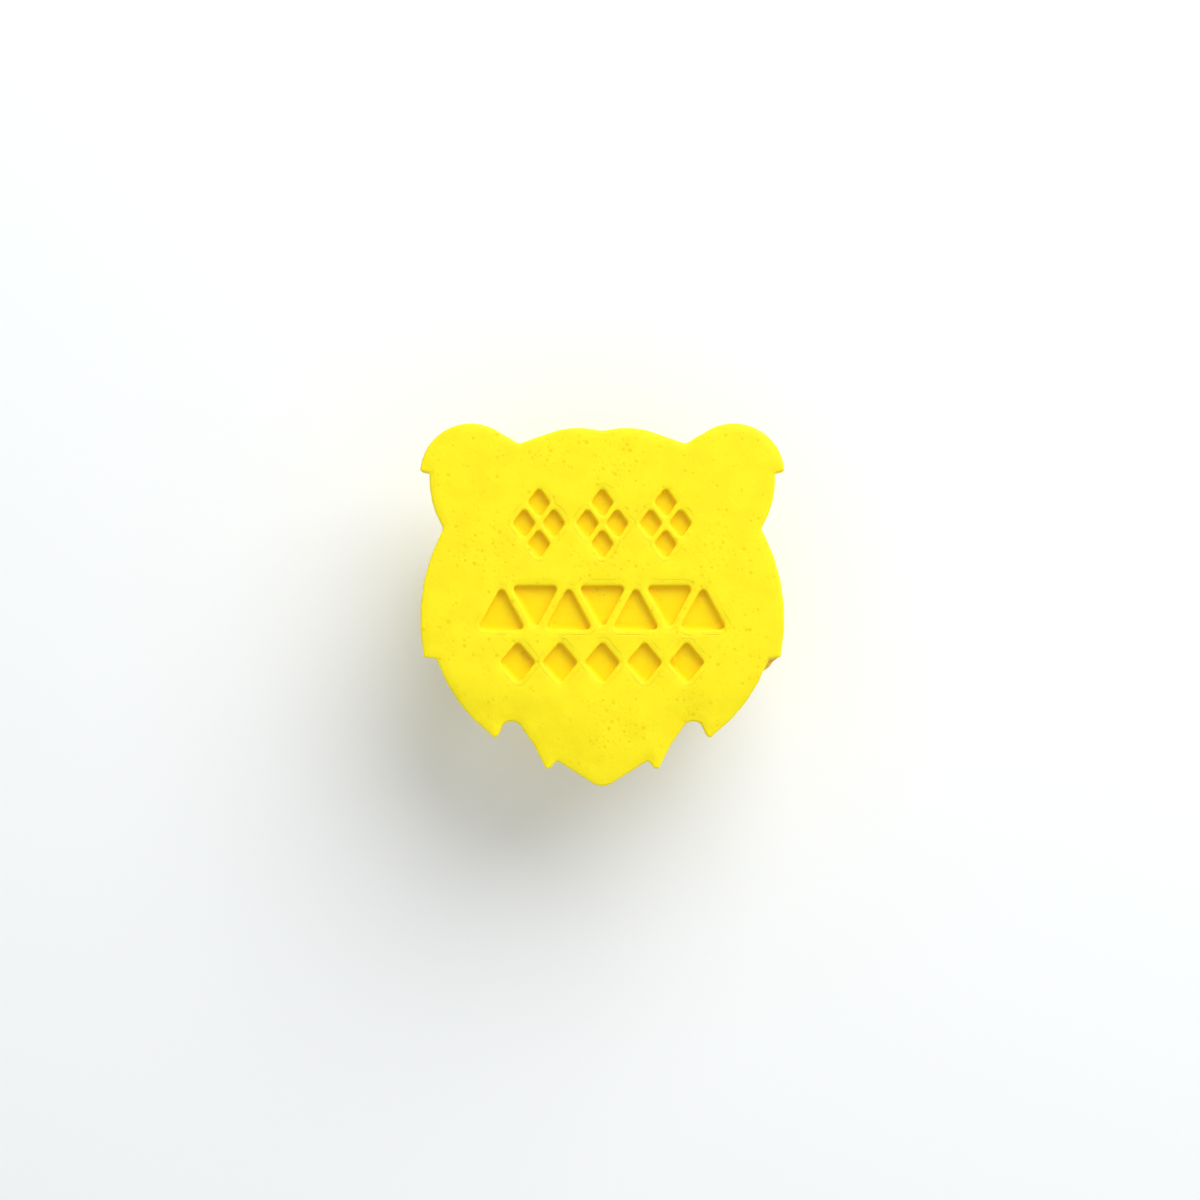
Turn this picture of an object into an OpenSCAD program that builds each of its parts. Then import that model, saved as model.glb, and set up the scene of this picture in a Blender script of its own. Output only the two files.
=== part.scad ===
/* [Head plate] */
// Width of the head across the cheeks
head_w = 38; // [36:0.5:60]
// Thickness of the plate
plate_t = 3.6; // [2.4:0.2:6]
// Depth of the recesses sunk in the face
recess_depth = 1; // [0.4:0.1:1.4]
// Radius of the rounded corners of a recess
recess_corner_r = 0.4; // [0.1:0.05:0.5]

/* [Top row: quartered lozenges] */
// Number of lozenges
lozenge_count = 3; // [1:1:3]
// Width of one lozenge
lozenge_w = 6.2; // [5:0.1:6.2]
// Height of one lozenge
lozenge_h = 8.6; // [7:0.1:8.8]
// Distance from one lozenge to the next
lozenge_pitch = 6.6; // [6.5:0.1:7]
// Height of the row's middle above the plate's middle
lozenge_y = 8.5; // [8:0.1:9]
// Width of the ridges that cross a lozenge
ridge_w = 0.6; // [0.4:0.05:0.8]

/* [Middle row: triangles] */
// Number of triangles, pointing up and down in turn
triangle_count = 7; // [3:2:7]
// Width of one triangle
triangle_w = 5; // [4:0.1:5.2]
// Height of one triangle
triangle_h = 4.6; // [3:0.1:5]
// Distance from one triangle to the next
triangle_pitch = 3.5; // [3.4:0.1:3.8]
// Height of the row's middle above the plate's middle
triangle_y = -0.3; // [-1:0.1:0]

/* [Bottom row: small lozenges] */
// Number of small lozenges
bead_count = 5; // [1:2:5]
// Width of one small lozenge
bead_w = 3.7; // [3:0.1:4]
// Height of one small lozenge
bead_h = 4.4; // [3:0.1:4.6]
// Distance from one small lozenge to the next
bead_pitch = 4.4; // [4.3:0.1:4.8]
// Height of the row's middle above the plate's middle
bead_y = -6; // [-6.5:0.1:-5.8]

/* [Scarf loop] */
// Width of the channel for the rolled scarf
channel_w = 24; // [16:0.5:26]
// Depth of the channel for the rolled scarf
channel_d = 13; // [9:0.5:20]
// Radius of the channel's corners
channel_r = 4; // [1:0.5:4]
// Thickness of the loop's wall
loop_wall = 2.4; // [1.6:0.1:4]
// Length of the loop along the scarf
loop_l = 14; // [8:0.5:20]
// Height of the loop's middle above the plate's middle
loop_y = 2; // [-3:0.5:4]
// Gap left for the glue between the loop and the plate
glue_gap = 0.05; // [0.02:0.01:0.1]

/* [Hidden] */

// Head width that the outline below is drawn at
drawn_w = 38;
// Greatest turn of an arc from one point to the next, in degrees
arc_step = 9;
// Length that a cutter runs on past the face it cuts
past = 1;

// Right half of the head's outline, from the middle of the brow round to the chin. The rise is how
// far the arc to the next row stands out from its chord, below zero where the outline hollows.
// x, y, rise
HALF_HEAD = [
  [ 0.00,  18.15, -0.02], // dip in the middle of the brow
  [ 0.90,  18.28,  0.34], // brow
  [ 5.60,  17.87,  0.05],
  [ 8.15,  16.97, -0.13], // notch between brow and ear
  [ 9.05,  16.98,  0.04],
  [10.52,  17.84,  2.70], // ear
  [18.98,  14.15,  0.10], // tip under the ear
  [18.70,  13.86,  0.00],
  [18.24,  13.76, -0.08],
  [18.02,  13.45,  0.36], // side of the head
  [16.80,   8.35, -0.17], // notch above the cheek
  [16.84,   7.42,  1.08], // cheek
  [18.63,  -5.22,  0.09], // tip of the cheek tuft
  [18.34,  -5.52,  0.00],
  [17.50,  -5.62, -0.10],
  [17.17,  -6.00,  0.70], // jaw
  [11.63, -13.53,  0.34], // tip of the jaw tuft
  [10.78, -13.42,  0.00],
  [10.42, -12.65, -0.42], // notch beside the jaw tuft
  [ 8.60, -12.52, -0.17],
  [ 6.06, -16.74,  0.31], // tip of the chin tuft
  [ 5.24, -16.84,  0.00],
  [ 4.98, -16.52, -0.14], // notch beside the chin
  [ 4.38, -16.48,  0.02],
  [ 0.95, -18.64,  0.07], // chin
  [ 0.00, -18.90,  0.00],
];

// Points of the arc from row a towards row b, without its last point
function arc(a, b) =
  let (
    ends = [b.x - a.x, b.y - a.y],
    chord = norm(ends),
    along = ends / chord,
    out = [-along.y, along.x],
    rise = a[2],
    half_turn = 2 * atan(2 * rise / chord),
    steps = max(1, ceil(2 * abs(half_turn) / arc_step)),
    r = rise == 0 ? 0 : (chord * chord / 4 + rise * rise) / (2 * rise),
    centre = [a.x + b.x, a.y + b.y] / 2 + out * (rise - r)
  )
  steps == 1
    ? [[a.x, a.y]]
    : [for (i = [0:steps - 1])
        let (turn = half_turn * (2 * i / steps - 1))
        centre + r * (sin(turn) * along + cos(turn) * out)];

// Points of the whole head, the right half and its mirror image
function head_points() =
  let (
    last = len(HALF_HEAD) - 1,
    right = [for (i = [0:last - 1]) each arc(HALF_HEAD[i], HALF_HEAD[i + 1])],
    chin = [[HALF_HEAD[last].x, HALF_HEAD[last].y]],
    left = [for (i = [len(right) - 1:-1:1]) [-right[i].x, right[i].y]]
  )
  concat(right, chin, left) * head_w / drawn_w;

// Points of a convex outline with its corners rounded to radius r
function rounded(corners, r) =
  let (n = len(corners))
  [for (i = [0:n - 1]) each round_corner(corners[(i + n - 1) % n], corners[i], corners[(i + 1) % n], r)];

function round_corner(before, corner, after, r) =
  let (
    u = (before - corner) / norm(before - corner),
    v = (after - corner) / norm(after - corner),
    inward = (u + v) / norm(u + v),
    half_angle = acos(u * v) / 2,
    centre = corner + inward * r / sin(half_angle),
    across = sign(cross(u, v)) * [inward.y, -inward.x],
    half_turn = 90 - half_angle,
    steps = ceil(2 * half_turn / arc_step)
  )
  [for (i = [0:steps])
    let (turn = half_turn * (2 * i / steps - 1))
    centre - r * (cos(turn) * inward + sin(turn) * across)];

// Corners of a lozenge and of a triangle that points up, both about their middle
function lozenge(w, h) = [[0, h / 2], [-w / 2, 0], [0, -h / 2], [w / 2, 0]];
function triangle(w, h) = [[0, h / 2], [-w / 2, -h / 2], [w / 2, -h / 2]];

// Children set side by side in a row, with $place as the number of each
module in_row(count, pitch, y) {
  for ($place = [0:count - 1])
    translate([($place - (count - 1) / 2) * pitch, y])
      children();
}

// Lozenge that two ridges divide into four
module quartered_lozenge() {
  across_flats = lozenge_w * lozenge_h / norm([lozenge_w, lozenge_h]);
  quarter = lozenge(lozenge_w, lozenge_h) * (1 / 2 - ridge_w / across_flats);
  for (corner = lozenge(lozenge_w, lozenge_h))
    translate(corner / 2)
      polygon(rounded(quarter, recess_corner_r));
}

// The rows of recesses, as a flat pattern
module face_pattern() {
  in_row(lozenge_count, lozenge_pitch, lozenge_y)
    quartered_lozenge();
  in_row(triangle_count, triangle_pitch, triangle_y)
    mirror([0, $place % 2])
      polygon(rounded(triangle(triangle_w, triangle_h), recess_corner_r));
  in_row(bead_count, bead_pitch, bead_y)
    polygon(rounded(lozenge(bead_w, bead_h), recess_corner_r));
}

// Outside size of the loop, and the height of the plate's back above what the loop rests on
loop_w = channel_w + 2 * loop_wall;
loop_h = channel_d + 2 * loop_wall;
plate_z = loop_h + glue_gap;

// Bar with rounded long edges that lies along the scarf, its lower face at height z
module rounded_bar(w, h, l, r, z) {
  box = [[-w / 2, 0], [w / 2, 0], [w / 2, h], [-w / 2, h]];
  translate([0, loop_y + l / 2, z])
    rotate([90, 0, 0])
      linear_extrude(l)
        polygon(rounded(box, r));
}

module head_plate() {
  color("gold")
    translate([0, 0, plate_z])
      difference() {
        linear_extrude(plate_t)
          polygon(head_points());
        translate([0, 0, plate_t - recess_depth])
          linear_extrude(recess_depth + past)
            face_pattern();
      }
}

module scarf_loop() {
  color("gold")
    difference() {
      rounded_bar(loop_w, loop_h, loop_l, channel_r + loop_wall, 0);
      rounded_bar(channel_w, channel_d, loop_l + 2 * past, channel_r, loop_wall);
    }
}

head_plate();
scarf_loop();
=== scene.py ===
import math

import bmesh
import bpy
import numpy as np
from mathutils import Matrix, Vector


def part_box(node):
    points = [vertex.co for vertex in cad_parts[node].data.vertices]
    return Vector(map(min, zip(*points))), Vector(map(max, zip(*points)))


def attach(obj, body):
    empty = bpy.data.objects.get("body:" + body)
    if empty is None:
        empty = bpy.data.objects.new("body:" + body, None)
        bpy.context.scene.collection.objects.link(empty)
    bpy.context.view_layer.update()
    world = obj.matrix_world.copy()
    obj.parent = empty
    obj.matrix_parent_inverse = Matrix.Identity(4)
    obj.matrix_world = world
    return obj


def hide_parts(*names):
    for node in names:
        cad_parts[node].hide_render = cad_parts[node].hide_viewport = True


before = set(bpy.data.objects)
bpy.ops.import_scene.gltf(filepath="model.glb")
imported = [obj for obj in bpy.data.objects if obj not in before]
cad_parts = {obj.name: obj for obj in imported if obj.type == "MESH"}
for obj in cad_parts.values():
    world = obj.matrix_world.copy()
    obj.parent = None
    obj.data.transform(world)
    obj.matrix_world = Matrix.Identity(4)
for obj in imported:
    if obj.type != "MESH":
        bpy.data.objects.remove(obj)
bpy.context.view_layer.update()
bpy.ops.object.select_all(action="DESELECT")
MM = 0.001

# Head plate: the flat front plate, printed in bright yellow PLA with its back on the bed. Its top
# layers leave a satin skin with small pits and soft shoulders at every edge, and the layers under
# them leave fine lines round the walls. It is glued to the loop behind it.
FACE_ROUND = 0.23 * MM
BACK_ROUND = 0.15 * MM
RECESS_ROUND = 0.20 * MM
FLOOR_ROUND = 0.10 * MM
ROUND_STEPS = 3
SMALL_ROUND_STEPS = 2
LAYER = 0.2 * MM
TOP_SKIN = 0.24 * MM
GROOVE_DEPTH = 0.035 * MM
GROOVE_HALF_W = 0.05 * MM
GRID = 0.4 * MM
WALL_SLACK = 0.4 * MM
MERGE = 0.1 * MM
TINY = 0.002 * MM
FLAT = 0.99
SAME_PLANE = math.radians(0.5)
ALONG_Z = 2
plate_low, plate_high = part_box("head_plate")
plate_t = plate_high.z - plate_low.z


def choose(piece):
    """Selects one piece alone, and makes it the active one."""
    bpy.ops.object.select_all(action="DESELECT")
    piece.select_set(True)
    bpy.context.view_layer.objects.active = piece


def open_mesh(piece):
    """Edit mode on one piece, with nothing selected."""
    choose(piece)
    bpy.ops.object.mode_set(mode="EDIT")
    bpy.ops.mesh.select_all(action="DESELECT")


def close_mesh():
    bpy.ops.object.mode_set(mode="OBJECT")


def pick(piece, kind, test):
    """Selects only the verts, edges or faces for which the test holds."""
    bpy.ops.mesh.select_mode(type={"verts": "VERT", "edges": "EDGE", "faces": "FACE"}[kind])
    bpy.ops.mesh.select_all(action="DESELECT")
    mesh = bmesh.from_edit_mesh(piece.data)
    for part in getattr(mesh, kind):
        if test(part):
            part.select_set(True)
    bmesh.update_edit_mesh(piece.data)


def is_level(face):
    return abs(face.normal.z) > FLAT


def height_of(face):
    return face.calc_center_bounds().z


def rim_test(height, wall_depth):
    """Test for the edges where a flat face at a height meets a wall of about that depth."""
    def is_rim(edge):
        if len(edge.link_faces) != 2 or any(abs(v.co.z - height) > TINY for v in edge.verts):
            return False
        flat, wall = sorted(edge.link_faces, key=lambda f: -abs(f.normal.z))
        if not is_level(flat) or abs(wall.normal.z) > 1 - FLAT:
            return False
        heights = [v.co.z for v in wall.verts]
        return abs(max(heights) - min(heights) - wall_depth) < WALL_SLACK
    return is_rim


def round_rim(piece, height, wall_depth, radius, steps):
    """Rounds the edges that rim_test finds."""
    pick(piece, "edges", rim_test(height, wall_depth))
    bpy.ops.mesh.bevel(offset=radius, segments=steps, profile=0.5, affect="EDGES",
                       clamp_overlap=False, loop_slide=False)


def cut_through(place, normal, merge=MERGE):
    """Cuts all that isn't hidden along a plane, and leaves the cut selected."""
    bpy.ops.mesh.select_all(action="SELECT")
    bpy.ops.mesh.bisect(plane_co=place, plane_no=normal, threshold=merge)


def groove(piece, axis, places):
    """Fine grooves between printed layers, cut square to an axis at each of the places."""
    normal = Vector([axis == i for i in range(3)])
    for place in places:
        for shift in (-GROOVE_HALF_W, 0, GROOVE_HALF_W):
            cut_through(normal * (place + shift), normal, TINY)
    pick(piece, "verts", lambda v: min(abs(v.co[axis] - p) for p in places) < TINY)
    bpy.ops.transform.shrink_fatten(value=-GROOVE_DEPTH)


def plan_of(piece):
    """Places of a piece's points in plan."""
    points = np.empty(len(piece.data.vertices) * 3)
    piece.data.vertices.foreach_get("co", points)
    return points.reshape(-1, 3)[:, :2]


def gaps_to(points, segments):
    """Distance of each point from the nearest of the segments, in millimetres."""
    starts, runs = segments[:, 0], segments[:, 1] - segments[:, 0]
    lengths = np.maximum((runs ** 2).sum(1), TINY ** 2)
    gaps = []
    for point in points:
        along = np.clip(((point - starts) * runs).sum(1) / lengths, 0, 1)
        gaps.append(np.sqrt(((point - starts - along[:, None] * runs) ** 2).sum(1).min()))
    return np.array(gaps) / MM


def keep_values(piece, name, values):
    """Keeps a value on each point, for the material to read."""
    piece.data.attributes.new(name, "FLOAT", "POINT").data.foreach_set("value", values)


def apply_weighted_normals(piece):
    """Smooth rounded edges beside faces that stay flat."""
    choose(piece)
    bpy.ops.object.shade_smooth()
    modifier = piece.modifiers.new("flat faces", "WEIGHTED_NORMAL")
    modifier.keep_sharp = True
    bpy.ops.object.modifier_apply(modifier=modifier.name)


plate = bpy.data.objects.new("printed_head_plate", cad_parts["head_plate"].data.copy())
bpy.context.scene.collection.objects.link(plate)
plate.data.materials.clear()
open_mesh(plate)
bpy.ops.mesh.select_all(action="SELECT")
bpy.ops.mesh.customdata_custom_splitnormals_clear()
bpy.ops.mesh.remove_doubles(threshold=TINY)
bpy.ops.mesh.dissolve_limited(angle_limit=SAME_PLANE)
mesh = bmesh.from_edit_mesh(plate.data)
floor_z = max(v.co.z for v in mesh.verts if v.co.z < plate_high.z - TINY)
recess_depth = plate_high.z - floor_z
is_outline = rim_test(plate_high.z, plate_t)
is_recess_edge = rim_test(plate_high.z, recess_depth)
outline = np.array([[v.co.xy for v in e.verts] for e in mesh.edges if is_outline(e)])
recess_edges = np.array([[v.co.xy for v in e.verts] for e in mesh.edges if is_recess_edge(e)])

round_rim(plate, plate_high.z, plate_t, FACE_ROUND, ROUND_STEPS)
round_rim(plate, plate_high.z, recess_depth, RECESS_ROUND, ROUND_STEPS)
round_rim(plate, floor_z, recess_depth - RECESS_ROUND, FLOOR_ROUND, SMALL_ROUND_STEPS)
round_rim(plate, plate_low.z, plate_t - FACE_ROUND, BACK_ROUND, SMALL_ROUND_STEPS)
layer_count = int((plate_t - TOP_SKIN - BACK_ROUND) / LAYER)
groove(plate, ALONG_Z, [plate_high.z - TOP_SKIN - i * LAYER for i in range(layer_count + 1)])

# Face and back are filled anew inside their rounded edges, and the face and the recess floors are
# cut into a grid whose points can hold their distance from those edges
pick(plate, "faces", lambda f: is_level(f) and abs(height_of(f) - floor_z) > TINY)
bpy.ops.mesh.delete(type="FACE")
for level in (plate_low.z, plate_high.z):
    pick(plate, "edges",
         lambda e: e.is_boundary and all(abs(v.co.z - level) < TINY for v in e.verts))
    bpy.ops.mesh.fill(use_beauty=True)
pick(plate, "faces", lambda f: is_level(f) and height_of(f) > floor_z - TINY)
bpy.ops.mesh.hide(unselected=True)
cuts = int(plate_high.x / GRID)
for across in (Vector((1, 0, 0)), Vector((0, 1, 0))):
    for i in range(-cuts, cuts + 1):
        cut_through(across * (i + 0.5) * GRID, across)
        bpy.ops.mesh.mark_seam(clear=False)
bpy.ops.mesh.select_all(action="SELECT")
bpy.ops.mesh.dissolve_limited(angle_limit=SAME_PLANE, delimit={"SEAM"})
bpy.ops.mesh.select_all(action="SELECT")
bpy.ops.mesh.mark_seam(clear=True)
bpy.ops.mesh.reveal()
bpy.ops.mesh.select_all(action="SELECT")
bpy.ops.mesh.normals_make_consistent(inside=False)

# A lump of scorched plastic has run into the corner under the right cheek tuft
LUMP_CORNER = Vector((17.3 * MM, -5.85 * MM, plate_high.z - 1.75 * MM))
LUMP_ALONG = Vector((0.781, 0.625, 0))
LUMP_OUT = Vector((0.625, -0.781, 0))
LUMP_PUSH = 0.62 * MM
LUMP_REACH = 1.1 * MM
LUMP_FOOT_R = 1.2 * MM
LUMP_CUT = 0.12 * MM
LUMP_CUTS = 9
LUMP_TOP_R = 0.2 * MM
LUMP_TOP_HALF_H = 0.4 * MM
LUMP_SOFT_R = 0.8 * MM
LUMP_ROUGH = 0.03 * MM
wall_low = plate_low.z + BACK_ROUND - TINY
wall_high = plate_high.z - FACE_ROUND


def by_corner(vert, reach):
    """Whether a point is near the lump's corner, seen in plan."""
    return (vert.co - LUMP_CORNER).xy.length < reach


pick(plate, "faces", lambda f: not is_level(f) and wall_low < height_of(f) < wall_high and
     any(by_corner(v, LUMP_FOOT_R) for v in f.verts))
bpy.ops.mesh.hide(unselected=True)
for i in range(-LUMP_CUTS, LUMP_CUTS + 1):
    cut_through(LUMP_CORNER + LUMP_ALONG * LUMP_CUT * i, LUMP_ALONG)
bpy.ops.mesh.reveal(select=False)
pick(plate, "verts",
     lambda v: by_corner(v, LUMP_TOP_R) and abs(v.co.z - LUMP_CORNER.z) < LUMP_TOP_HALF_H)
bpy.ops.transform.translate(value=LUMP_OUT * LUMP_PUSH, use_proportional_edit=True,
                            proportional_edit_falloff="LINEAR", proportional_size=LUMP_REACH)
lump = LUMP_CORNER + LUMP_OUT * LUMP_PUSH
pick(plate, "verts", lambda v: (v.co - lump).length < LUMP_SOFT_R)
bpy.ops.mesh.vertices_smooth(factor=0.5, repeat=4)
bpy.ops.transform.vertex_random(offset=LUMP_ROUGH, uniform=0.5, normal=0.5, seed=5)
bpy.ops.mesh.vertices_smooth(factor=0.5, repeat=2)
bpy.ops.mesh.select_all(action="SELECT")
bpy.ops.mesh.dissolve_degenerate(threshold=TINY / 4)
close_mesh()

# A thread of plastic, left by the nozzle, hangs across the corner of the last small lozenge
THREAD_START = Vector((7.50 * MM, -5.15 * MM))
THREAD_END = Vector((8.05 * MM, -7.33 * MM))
THREAD_R = 0.07 * MM
THREAD_SIDES = 10
THREAD_CUTS = 9
THREAD_DEPTH = 0.30 * MM
THREAD_SAG = 0.12 * MM
THREAD_SWAY = 0.1 * MM
THREAD_LOW_R = 0.15 * MM
run = THREAD_END - THREAD_START
middle = (THREAD_START + THREAD_END) / 2
turn = math.atan2(run.y, run.x) - math.pi / 2
bpy.ops.mesh.primitive_cylinder_add(vertices=THREAD_SIDES, radius=THREAD_R, depth=run.length,
                                    location=(middle.x, middle.y, plate_high.z - THREAD_DEPTH),
                                    rotation=(math.pi / 2, 0, turn))
thread = bpy.context.object
bpy.ops.object.transform_apply(location=True, rotation=True)
open_mesh(thread)
pick(thread, "edges", lambda e: e.calc_length() > run.length / 2)
bpy.ops.mesh.subdivide(number_cuts=THREAD_CUTS)
pick(thread, "verts", lambda v: (v.co.xy - middle).length < THREAD_LOW_R)
bpy.ops.transform.translate(value=(-THREAD_SWAY, 0, -THREAD_SAG), use_proportional_edit=True,
                            proportional_edit_falloff="SPHERE", proportional_size=run.length / 2)
close_mesh()
choose(plate)
thread.select_set(True)
bpy.ops.object.join()

# The skin has gathered most of its pits in a few areas: x, y and radius in millimetres
PITTED = np.array([(0.8, 15.2, 4.5), (-5.6, 15.6, 3.0), (-12.2, 6.7, 4.5), (11.7, 5.0, 5.5),
                   (14.2, -3.6, 4.0), (10.0, -10.2, 3.5), (0.8, -12.3, 5.0), (0.0, 3.2, 5.0)])
PITTED_CORE = 1.4
plan = plan_of(plate)
keep_values(plate, "rim_gap", gaps_to(plan, outline))
keep_values(plate, "recess_gap", gaps_to(plan, recess_edges))
to_middles = np.linalg.norm(plan[:, None] / MM - PITTED[:, :2], axis=2)
pitted_share = np.clip(PITTED_CORE * (1 - to_middles / PITTED[:, 2]), 0, 1).max(1)
keep_values(plate, "pitting", pitted_share)
apply_weighted_normals(plate)

# Numbers of the Mix node's colour sockets, because its other kinds have sockets of the same names
MIX_BASE = 6
MIX_OVER = 7
MIX_RESULT = 2


def add_node(tree, kind, feeds=None, **settings):
    """Adds a shader node, whose inputs take numbers, colours or other nodes' outputs."""
    made = tree.nodes.new("ShaderNode" + kind)
    for name, value in settings.items():
        setattr(made, name, value)
    for key, value in (feeds or {}).items():
        if isinstance(value, bpy.types.NodeSocket):
            tree.links.new(value, made.inputs[key])
        else:
            made.inputs[key].default_value = value
    return made


def calc(tree, operation, a, b=0.0):
    return add_node(tree, "Math", {0: a, 1: b}, operation=operation).outputs[0]


def fade(tree, value, start, end, low=0.0, high=1.0):
    """Smooth change from low, where the value is at the start, to high, where it is at the end."""
    feeds = {"Value": value, "From Min": start, "From Max": end, "To Min": low, "To Max": high}
    return add_node(tree, "MapRange", feeds, interpolation_type="SMOOTHSTEP").outputs["Result"]


def tint(tree, share, base, over):
    """Colour over another colour, by its share from 0 to 1."""
    feeds = {"Factor": share, MIX_BASE: base, MIX_OVER: over}
    return add_node(tree, "Mix", feeds, data_type="RGBA").outputs[MIX_RESULT]


def grain(tree, place, size, detail=1.0):
    """Noise from 0 to 1 whose patches are about as large as the size."""
    feeds = {"Vector": place, "Scale": calc(tree, "DIVIDE", 1.0, size), "Detail": detail}
    return add_node(tree, "TexNoise", feeds).outputs["Fac"]


def distance(tree, place, point):
    return add_node(tree, "VectorMath", {0: place, 1: point}, operation="DISTANCE").outputs["Value"]


def add_group(name, inputs, outputs):
    """Empty node group, with the sockets inside it that hold its inputs and take its outputs."""
    group = bpy.data.node_groups.new(name, "ShaderNodeTree")
    for label, kind in inputs.items():
        group.interface.new_socket(label, in_out="INPUT", socket_type="NodeSocket" + kind)
    for label, kind in outputs.items():
        group.interface.new_socket(label, in_out="OUTPUT", socket_type="NodeSocket" + kind)
    given = group.nodes.new("NodeGroupInput").outputs
    gives = group.nodes.new("NodeGroupOutput").inputs
    return group, given, gives


def add_effect(tree, group, feeds):
    """Outputs of a node group, placed in a material with its own values."""
    return add_node(tree, "Group", feeds, node_tree=group).outputs


# Plastic is a base colour with faint patches of another, and a fine grain. A fade is kept as its
# start and end, and then its low and high where these aren't 0 and 1.
PATCH_FADE = (0.35, 0.68)
plastic, given, gives = add_group(
    "printed plastic",
    {"Place": "Vector", "Patch Size": "Float", "Grain Size": "Float", "Base": "Color",
     "Patches": "Color"},
    {"Color": "Color", "Patch": "Float", "Grain": "Float"})
patch = fade(plastic, grain(plastic, given["Place"], given["Patch Size"]), *PATCH_FADE)
plastic.links.new(tint(plastic, patch, given["Base"], given["Patches"]), gives["Color"])
plastic.links.new(patch, gives["Patch"])
plastic.links.new(grain(plastic, given["Place"], given["Grain Size"]), gives["Grain"])

# Streaks are faint changes from one printed layer to the next, drawn out along the layers
STREAK_FADE = (0.45, 0.75, 0.0, 0.40)
streaks, given, gives = add_group(
    "layer streaks",
    {"Place": "Vector", "Stretch": "Vector", "Layer": "Float"},
    {"Streak": "Float", "Darker": "Float"})
mapping = add_node(streaks, "Mapping", {"Vector": given["Place"], "Scale": given["Stretch"]})
streak = grain(streaks, mapping.outputs[0], given["Layer"])
streaks.links.new(streak, gives["Streak"])
streaks.links.new(fade(streaks, streak, *STREAK_FADE), gives["Darker"])

# Pits are small round gaps in the skin, at most one in each cell, and only a share of the cells
# has one. They vary in size and in strength.
PIT_SIZES = (0.6, 1.2)
PIT_SLOPE = (1.0, 0.2)
PIT_STRENGTHS = (0.3, 1.0)
pits, given, gives = add_group(
    "skin pits",
    {"Place": "Vector", "Cell": "Float", "Radius": "Float", "Share": "Float"},
    {"Pit": "Float"})
cell_scale = calc(pits, "DIVIDE", 1.0, given["Cell"])
cells = add_node(pits, "TexVoronoi", {"Vector": given["Place"], "Scale": cell_scale},
                 voronoi_dimensions="2D")
chance = add_node(pits, "SeparateColor", {"Color": cells.outputs["Color"]}).outputs
is_pit = calc(pits, "LESS_THAN", chance["Red"], given["Share"])
size = fade(pits, chance["Green"], 0.0, 1.0, *PIT_SIZES)
radius = calc(pits, "MULTIPLY", given["Radius"], size)
middle_gap = calc(pits, "MULTIPLY", cells.outputs["Distance"], given["Cell"])
hollow = fade(pits, calc(pits, "DIVIDE", middle_gap, radius), *PIT_SLOPE)
strength = fade(pits, chance["Blue"], 0.0, 1.0, *PIT_STRENGTHS)
strength = calc(pits, "MULTIPLY", is_pit, strength)
pits.links.new(calc(pits, "MULTIPLY", hollow, strength), gives["Pit"])

YELLOW = (0.94, 0.80, 0.010, 1)
YELLOW_PATCH = (0.92, 0.76, 0.008, 1)
# The amber colours the layer streaks, and it is also the painted shade of the recesses
STREAK_AND_RECESS_SHADE_AMBER = (0.98, 0.72, 0.0005, 1)
PIT_SHADE_AMBER = (0.86, 0.64, 0.0005, 1)
SCORCHED = (0.93, 0.60, 0.012, 1)
CHARRED = (0.68, 0.34, 0.008, 1)
skin = bpy.data.materials.new("printed_yellow_skin")
skin.use_nodes = True
tree = skin.node_tree
shader = tree.nodes["Principled BSDF"]
place = add_node(tree, "TexCoord").outputs["Object"]
x, y, z = add_node(tree, "SeparateXYZ", {"Vector": place}).outputs
facing = add_node(tree, "TexCoord").outputs["Normal"]
up = add_node(tree, "SeparateXYZ", {"Vector": facing}).outputs["Z"]
rim_gap = add_node(tree, "Attribute", attribute_name="rim_gap").outputs["Fac"]
recess_gap = add_node(tree, "Attribute", attribute_name="recess_gap").outputs["Fac"]

# Masks for the face, the back, the walls and the recesses. Gaps from an edge are in millimetres.
UPWARD = (0.80, 0.95)
DOWNWARD = (-0.80, -0.95)
INSIDE_GAPS = (0.5, 0.8)
SUNK_DEPTHS = (0.1 * MM, 0.5 * MM)
UNDER_FLOOR = 0.2 * MM
face_up = fade(tree, up, *UPWARD)
face_down = fade(tree, up, *DOWNWARD)
inside = fade(tree, rim_gap, *INSIDE_GAPS)
low = fade(tree, z, *[plate_high.z - depth for depth in SUNK_DEPTHS])
above_back = calc(tree, "GREATER_THAN", z, floor_z - UNDER_FLOOR)
sunk = calc(tree, "MULTIPLY", calc(tree, "MULTIPLY", low, inside), above_back)
on_face = calc(tree, "MULTIPLY", face_up, calc(tree, "SUBTRACT", 1.0, sunk))
on_wall = calc(tree, "SUBTRACT", calc(tree, "SUBTRACT", 1.0, face_up), face_down)

# Two sizes of pits, as cell and radius, gathered in clumps
COARSE_PITS = (0.85 * MM, 0.29 * MM)
FINE_PITS = (0.52 * MM, 0.18 * MM)
FINE_PIT_STRENGTH = 0.6
CLUMP_SIZE = 1.6 * MM
CLUMP_FADE = (0.30, 0.62, 0.25, 1.0)
PIT_SHARES = (0.16, 0.75)
pitting = add_node(tree, "Attribute", attribute_name="pitting").outputs["Fac"]
clumps = fade(tree, grain(tree, place, CLUMP_SIZE, 0.0), *CLUMP_FADE)
share = calc(tree, "MULTIPLY", fade(tree, pitting, 0.0, 1.0, *PIT_SHARES), clumps)
coarse, fine = [
    add_effect(tree, pits, {"Place": place, "Cell": cell, "Radius": radius, "Share": share})["Pit"]
    for cell, radius in (COARSE_PITS, FINE_PITS)]
fine = calc(tree, "MULTIPLY", fine, FINE_PIT_STRENGTH)
pit = calc(tree, "MULTIPLY", calc(tree, "MAXIMUM", coarse, fine), face_up)

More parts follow.
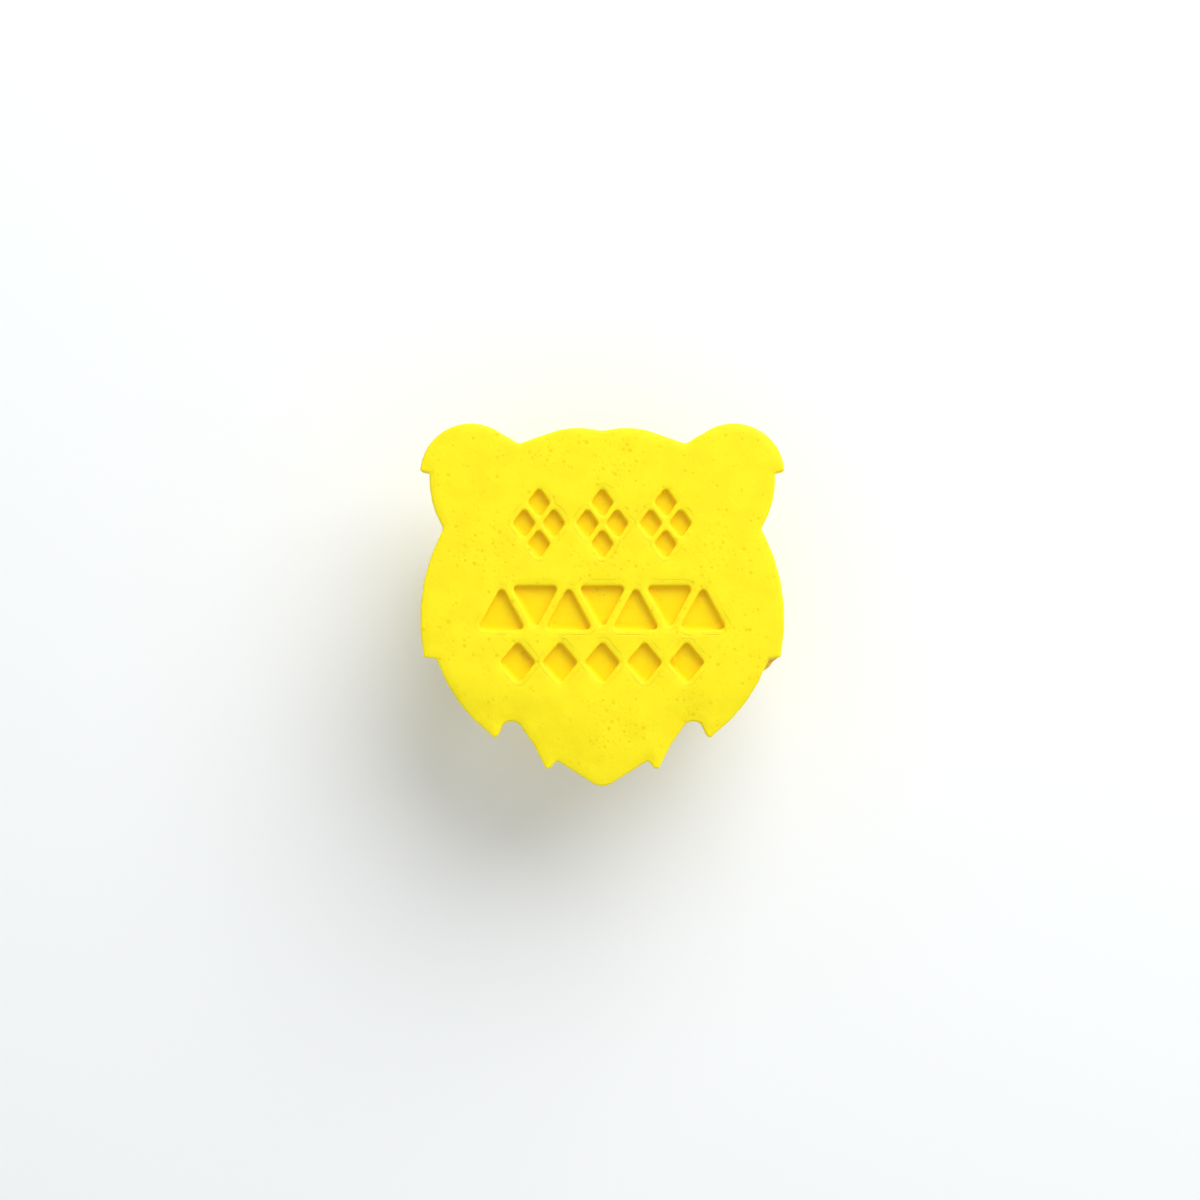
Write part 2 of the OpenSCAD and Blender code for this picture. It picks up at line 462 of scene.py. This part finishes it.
STREAK_STRETCH = 0.06
STREAK_LAYER = 0.32 * MM
PATCH_SIZE = 2.2 * MM
GRAIN_SIZE = 0.35 * MM
layers = add_effect(tree, streaks, {
    "Place": place, "Stretch": (STREAK_STRETCH, STREAK_STRETCH, 1), "Layer": STREAK_LAYER})
surface = add_effect(tree, plastic, {
    "Place": place, "Patch Size": PATCH_SIZE, "Grain Size": GRAIN_SIZE, "Base": YELLOW,
    "Patches": YELLOW_PATCH})

# The back shows the strings of the first layer, laid side by side across it at a slant
BED_PITCH = 0.45 * MM
BED_WANDER = 0.12 * MM
BED_WANDER_SIZE = 3 * MM
wander = calc(tree, "MULTIPLY", grain(tree, place, BED_WANDER_SIZE, 0.0), BED_WANDER)
slant = calc(tree, "ADD", calc(tree, "ADD", x, y), wander)
slant = calc(tree, "DIVIDE", slant, math.sqrt(2) * BED_PITCH)
bed_beads = calc(tree, "ABSOLUTE", calc(tree, "SINE", calc(tree, "MULTIPLY", slant, math.pi)))

# Scorched spots: x, y, depth below the face and radius in millimetres, and strength
SPOTS = [(-7.9, -5.3, 1.0, 0.80, 0.40), (0.3, -1.8, 1.0, 0.40, 0.45),
         (17.65, -6.2, 1.5, 1.25, 1.0)]
SPOT_SPREAD = 0.6
SPOT_SOFT = 0.45 * MM
RAGGED = 1.2 * MM
RAGGED_SIZE = 0.9 * MM
CHAR_SIZE = 0.5 * MM
CHAR_FADE = (0.35, 0.75)
PIT_SHADE_TINT = 0.9
colour = tint(tree, calc(tree, "MULTIPLY", layers["Darker"], on_wall), surface["Color"], STREAK_AND_RECESS_SHADE_AMBER)
# Painted shade: the recesses, floors and walls alike, are tinted amber
colour = tint(tree, sunk, colour, STREAK_AND_RECESS_SHADE_AMBER)
# Painted shade: the pits are tinted a darker amber
colour = tint(tree, calc(tree, "MULTIPLY", pit, PIT_SHADE_TINT), colour, PIT_SHADE_AMBER)
ragged = calc(tree, "MULTIPLY", grain(tree, place, RAGGED_SIZE), RAGGED)
charred = fade(tree, grain(tree, place, CHAR_SIZE), *CHAR_FADE)
scorched = tint(tree, charred, SCORCHED, CHARRED)
for spot_x, spot_y, spot_depth, spot_r, strength in SPOTS:
    spot_place = (spot_x * MM, spot_y * MM, plate_high.z - spot_depth * MM)
    from_spot = calc(tree, "ADD", distance(tree, place, spot_place), ragged)
    edge = (SPOT_SPREAD + spot_r) * MM
    colour = tint(tree, fade(tree, from_spot, edge, edge - SPOT_SOFT, 0.0, strength), colour, scorched)
tree.links.new(colour, shader.inputs["Base Color"])

# Relief: the face drops towards its edges and droops at the chin, and the nozzle has left a fine
# trace beside the recesses. These sizes are in millimetres, apart from the droop's places.
SHOULDER_W = 1.0
SHOULDER_DROP = 0.07
DROOP_W = 5.0
DROOP = 0.35
DROOP_PLACES = (-7 * MM, -12 * MM)
TRACE_GAP = 0.54
TRACE_HALF_W = 0.08
TRACE_DEPTH = 0.035
TRACE_FADE = (0.2, 0.7)
PIT_DEPTH = 0.03
BED_BEAD_H = 0.03
GRAIN_DEPTH = 0.018
STREAK_H = 0.045
rim_shoulder = fade(tree, rim_gap, SHOULDER_W, 0.0, 0.0, SHOULDER_DROP)
recess_shoulder = fade(tree, recess_gap, SHOULDER_W, 0.0, 0.0, SHOULDER_DROP)
by_rim = fade(tree, rim_gap, DROOP_W, 0.0, 0.0, DROOP)
droop = calc(tree, "MULTIPLY", by_rim, fade(tree, y, *DROOP_PLACES))
off_trace = calc(tree, "ABSOLUTE", calc(tree, "SUBTRACT", recess_gap, TRACE_GAP))
trace = fade(tree, off_trace, TRACE_HALF_W, 0.0, 0.0, TRACE_DEPTH)
trace = calc(tree, "MULTIPLY", trace, fade(tree, surface["Patch"], *TRACE_FADE))
trace = calc(tree, "MULTIPLY", trace, on_face)
back_beads = calc(tree, "MULTIPLY", bed_beads, face_down)
height = 0.0
for drop, depth in ((rim_shoulder, 1.0), (recess_shoulder, 1.0), (droop, 1.0), (trace, 1.0),
                    (pit, PIT_DEPTH), (back_beads, -BED_BEAD_H), (surface["Grain"], GRAIN_DEPTH),
                    (layers["Streak"], -STREAK_H)):
    height = calc(tree, "SUBTRACT", height, calc(tree, "MULTIPLY", drop, depth))
relief = add_node(tree, "Bump", {"Height": height, "Distance": MM})
tree.links.new(relief.outputs["Normal"], shader.inputs["Normal"])

SATIN_SIZE = 1.2 * MM
SATIN = (0.3, 0.7, 0.40, 0.50)
satin = fade(tree, grain(tree, place, SATIN_SIZE), *SATIN)
tree.links.new(satin, shader.inputs["Roughness"])
shader.inputs["Specular IOR Level"].default_value = 0.18
shader.subsurface_method = "BURLEY"
shader.inputs["Subsurface Weight"].default_value = 0.35
shader.inputs["Subsurface Radius"].default_value = (1.0, 0.5, 0.06)
shader.inputs["Subsurface Scale"].default_value = 1.0 * MM
plate.data.materials.append(skin)

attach(plate, "root")
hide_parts("head_plate")

# Scarf loop: the closed band behind the plate, a yellow PLA print of its own. It stood on one end
# on the bed, so its layers run round it and its ends show the strings that its wall is made of. It
# is glued flat to the back of the plate.
LOOP_WALL = 2.4 * MM
CHANNEL_BEND = 4.0 * MM
LOOP_BEND = CHANNEL_BEND + LOOP_WALL
BEND_STEPS = 12
LOOP_ROUND = 0.25 * MM
STRING_W = 0.40 * MM
STRING_GROOVE = 0.03 * MM
END_LAYERS = 2
ALONG_Y = 1
loop_low, loop_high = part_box("scarf_loop")
loop_size = loop_high - loop_low


def is_end(face):
    return abs(face.normal.y) > FLAT


bpy.ops.object.select_all(action="DESELECT")
bpy.ops.mesh.primitive_cube_add(size=1, location=(loop_low + loop_high) / 2)
loop = bpy.context.object
loop.name = "printed_scarf_loop"
loop.scale = loop_size
bpy.ops.object.transform_apply(location=True, scale=True)
open_mesh(loop)
pick(loop, "faces", is_end)
bpy.ops.mesh.delete(type="FACE")
pick(loop, "edges", lambda e: abs((e.verts[0].co - e.verts[1].co).y) > TINY)
bpy.ops.mesh.bevel(offset=LOOP_BEND, segments=BEND_STEPS, profile=0.5, affect="EDGES")
close_mesh()
wall = loop.modifiers.new("wall", "SOLIDIFY")
wall.thickness = LOOP_WALL
wall.offset = -1
wall.use_even_offset = True
bpy.ops.object.modifier_apply(modifier=wall.name)

# The wall's ends are rounded off, and grooves part the strings in them
open_mesh(loop)
pick(loop, "edges", lambda e: sum(is_end(f) for f in e.link_faces) == 1)
bpy.ops.mesh.bevel(offset=LOOP_ROUND, segments=ROUND_STEPS, profile=0.5, affect="EDGES")
string_count = int((LOOP_WALL / 2 - LOOP_ROUND) / STRING_W)
pick(loop, "faces", is_end)
for i in range(string_count):
    bpy.ops.mesh.inset(thickness=STRING_W - STRING_GROOVE, use_even_offset=True)
    bpy.ops.mesh.inset(thickness=STRING_GROOVE, depth=-STRING_GROOVE, use_even_offset=True)
    bpy.ops.mesh.inset(thickness=STRING_GROOVE, depth=STRING_GROOVE, use_even_offset=True)
layer_count = round(loop_size.y / LAYER)
groove(loop, ALONG_Y,
       [loop_low.y + i * LAYER for i in range(END_LAYERS, layer_count - END_LAYERS + 1)])
close_mesh()
apply_weighted_normals(loop)

LOOP_STREAK_LAYER = 0.35 * MM
LOOP_PATCH_SIZE = 3 * MM
LOOP_GRAIN_SIZE = 0.3 * MM
LOOP_GRAIN_H = 0.012
LOOP_STREAK_H = 0.06
LOOP_SATIN = (0.3, 0.7, 0.36, 0.48)
layered = bpy.data.materials.new("printed_yellow_layers")
layered.use_nodes = True
tree = layered.node_tree
shader = tree.nodes["Principled BSDF"]
place = add_node(tree, "TexCoord").outputs["Object"]
layers = add_effect(tree, streaks, {
    "Place": place, "Stretch": (STREAK_STRETCH, 1, STREAK_STRETCH), "Layer": LOOP_STREAK_LAYER})
surface = add_effect(tree, plastic, {
    "Place": place, "Patch Size": LOOP_PATCH_SIZE, "Grain Size": LOOP_GRAIN_SIZE, "Base": YELLOW,
    "Patches": YELLOW_PATCH})
colour = tint(tree, layers["Darker"], surface["Color"], STREAK_AND_RECESS_SHADE_AMBER)
tree.links.new(colour, shader.inputs["Base Color"])

# The scar is a ridge of small lumps along the loop, where each layer starts and ends
SCAR_PLACE = (11.2 * MM, 0, 1.0 * MM)
SCAR_R = 0.45 * MM
SCAR_CREST_R = 0.1 * MM
SCAR_LUMP = 0.3 * MM
SCAR_HEIGHTS = (0.3, 0.7, 0.05, 0.14)
across = add_node(tree, "Mapping", {"Vector": place, "Scale": (1, 0, 1)}).outputs[0]
along = add_node(tree, "Mapping", {"Vector": place, "Scale": (0, 1, 0)}).outputs[0]
ridge = fade(tree, distance(tree, across, SCAR_PLACE), SCAR_R, SCAR_CREST_R)
lumps = fade(tree, grain(tree, along, SCAR_LUMP), *SCAR_HEIGHTS)
height = calc(tree, "MULTIPLY", ridge, lumps)
for rise, amount in ((layers["Streak"], LOOP_STREAK_H), (surface["Grain"], LOOP_GRAIN_H)):
    height = calc(tree, "ADD", height, calc(tree, "MULTIPLY", rise, amount))
relief = add_node(tree, "Bump", {"Height": height, "Distance": MM})
tree.links.new(relief.outputs["Normal"], shader.inputs["Normal"])
tree.links.new(fade(tree, layers["Streak"], *LOOP_SATIN), shader.inputs["Roughness"])
shader.inputs["Specular IOR Level"].default_value = 0.25
loop.data.materials.append(layered)

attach(loop, "root")
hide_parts("scarf_loop")

# Stage: a pale paper floor, a soft cool light from all round, and one large round lamp at the upper
# right that faces the object. The camera looks straight down on the face.
FLOOR_W = 3.0
FLOOR_WHITE = (0.90, 0.91, 0.915, 1)
ROOM_WHITE = (0.96, 0.98, 1.0, 1)
ROOM_LIGHT = 0.62
WINDOW_PLACE = Vector((0.20, 0.34, 0.36))
WINDOW_W = 0.50
WINDOW_POWER = 2.55
CAMERA_X = -0.24 * MM
CAMERA_Y = 0.49 * MM
CAMERA_RISE = 0.3
FRAME_W = 0.125
SENSOR_MM = 36
bpy.ops.object.select_all(action="DESELECT")
bpy.ops.mesh.primitive_plane_add(size=FLOOR_W, location=(0, 0, 0))
floor = bpy.context.object
floor.name = "floor"
paper = bpy.data.materials.new("white_paper")
paper.use_nodes = True
shader = paper.node_tree.nodes["Principled BSDF"]
shader.inputs["Base Color"].default_value = FLOOR_WHITE
shader.inputs["Roughness"].default_value = 0.9
shader.inputs["Specular IOR Level"].default_value = 0.2
floor.data.materials.append(paper)

window = bpy.data.objects.new("window", bpy.data.lights.new("window", "AREA"))
window.data.shape = "DISK"
window.data.size = WINDOW_W
window.data.energy = WINDOW_POWER
window.location = WINDOW_PLACE
window.rotation_euler = WINDOW_PLACE.to_track_quat("Z", "Y").to_euler()
bpy.context.scene.collection.objects.link(window)
room = bpy.data.worlds.new("room")
room.use_nodes = True
room.node_tree.nodes["Background"].inputs["Color"].default_value = ROOM_WHITE
room.node_tree.nodes["Background"].inputs["Strength"].default_value = ROOM_LIGHT
bpy.context.scene.world = room
bpy.context.scene.view_settings.view_transform = "Standard"

camera = bpy.data.objects.new("camera", bpy.data.cameras.new("camera"))
bpy.context.scene.collection.objects.link(camera)
camera.location = (CAMERA_X, CAMERA_Y, plate_high.z + CAMERA_RISE)
camera.data.sensor_width = SENSOR_MM
camera.data.lens = SENSOR_MM * CAMERA_RISE / FRAME_W
bpy.context.scene.camera = camera
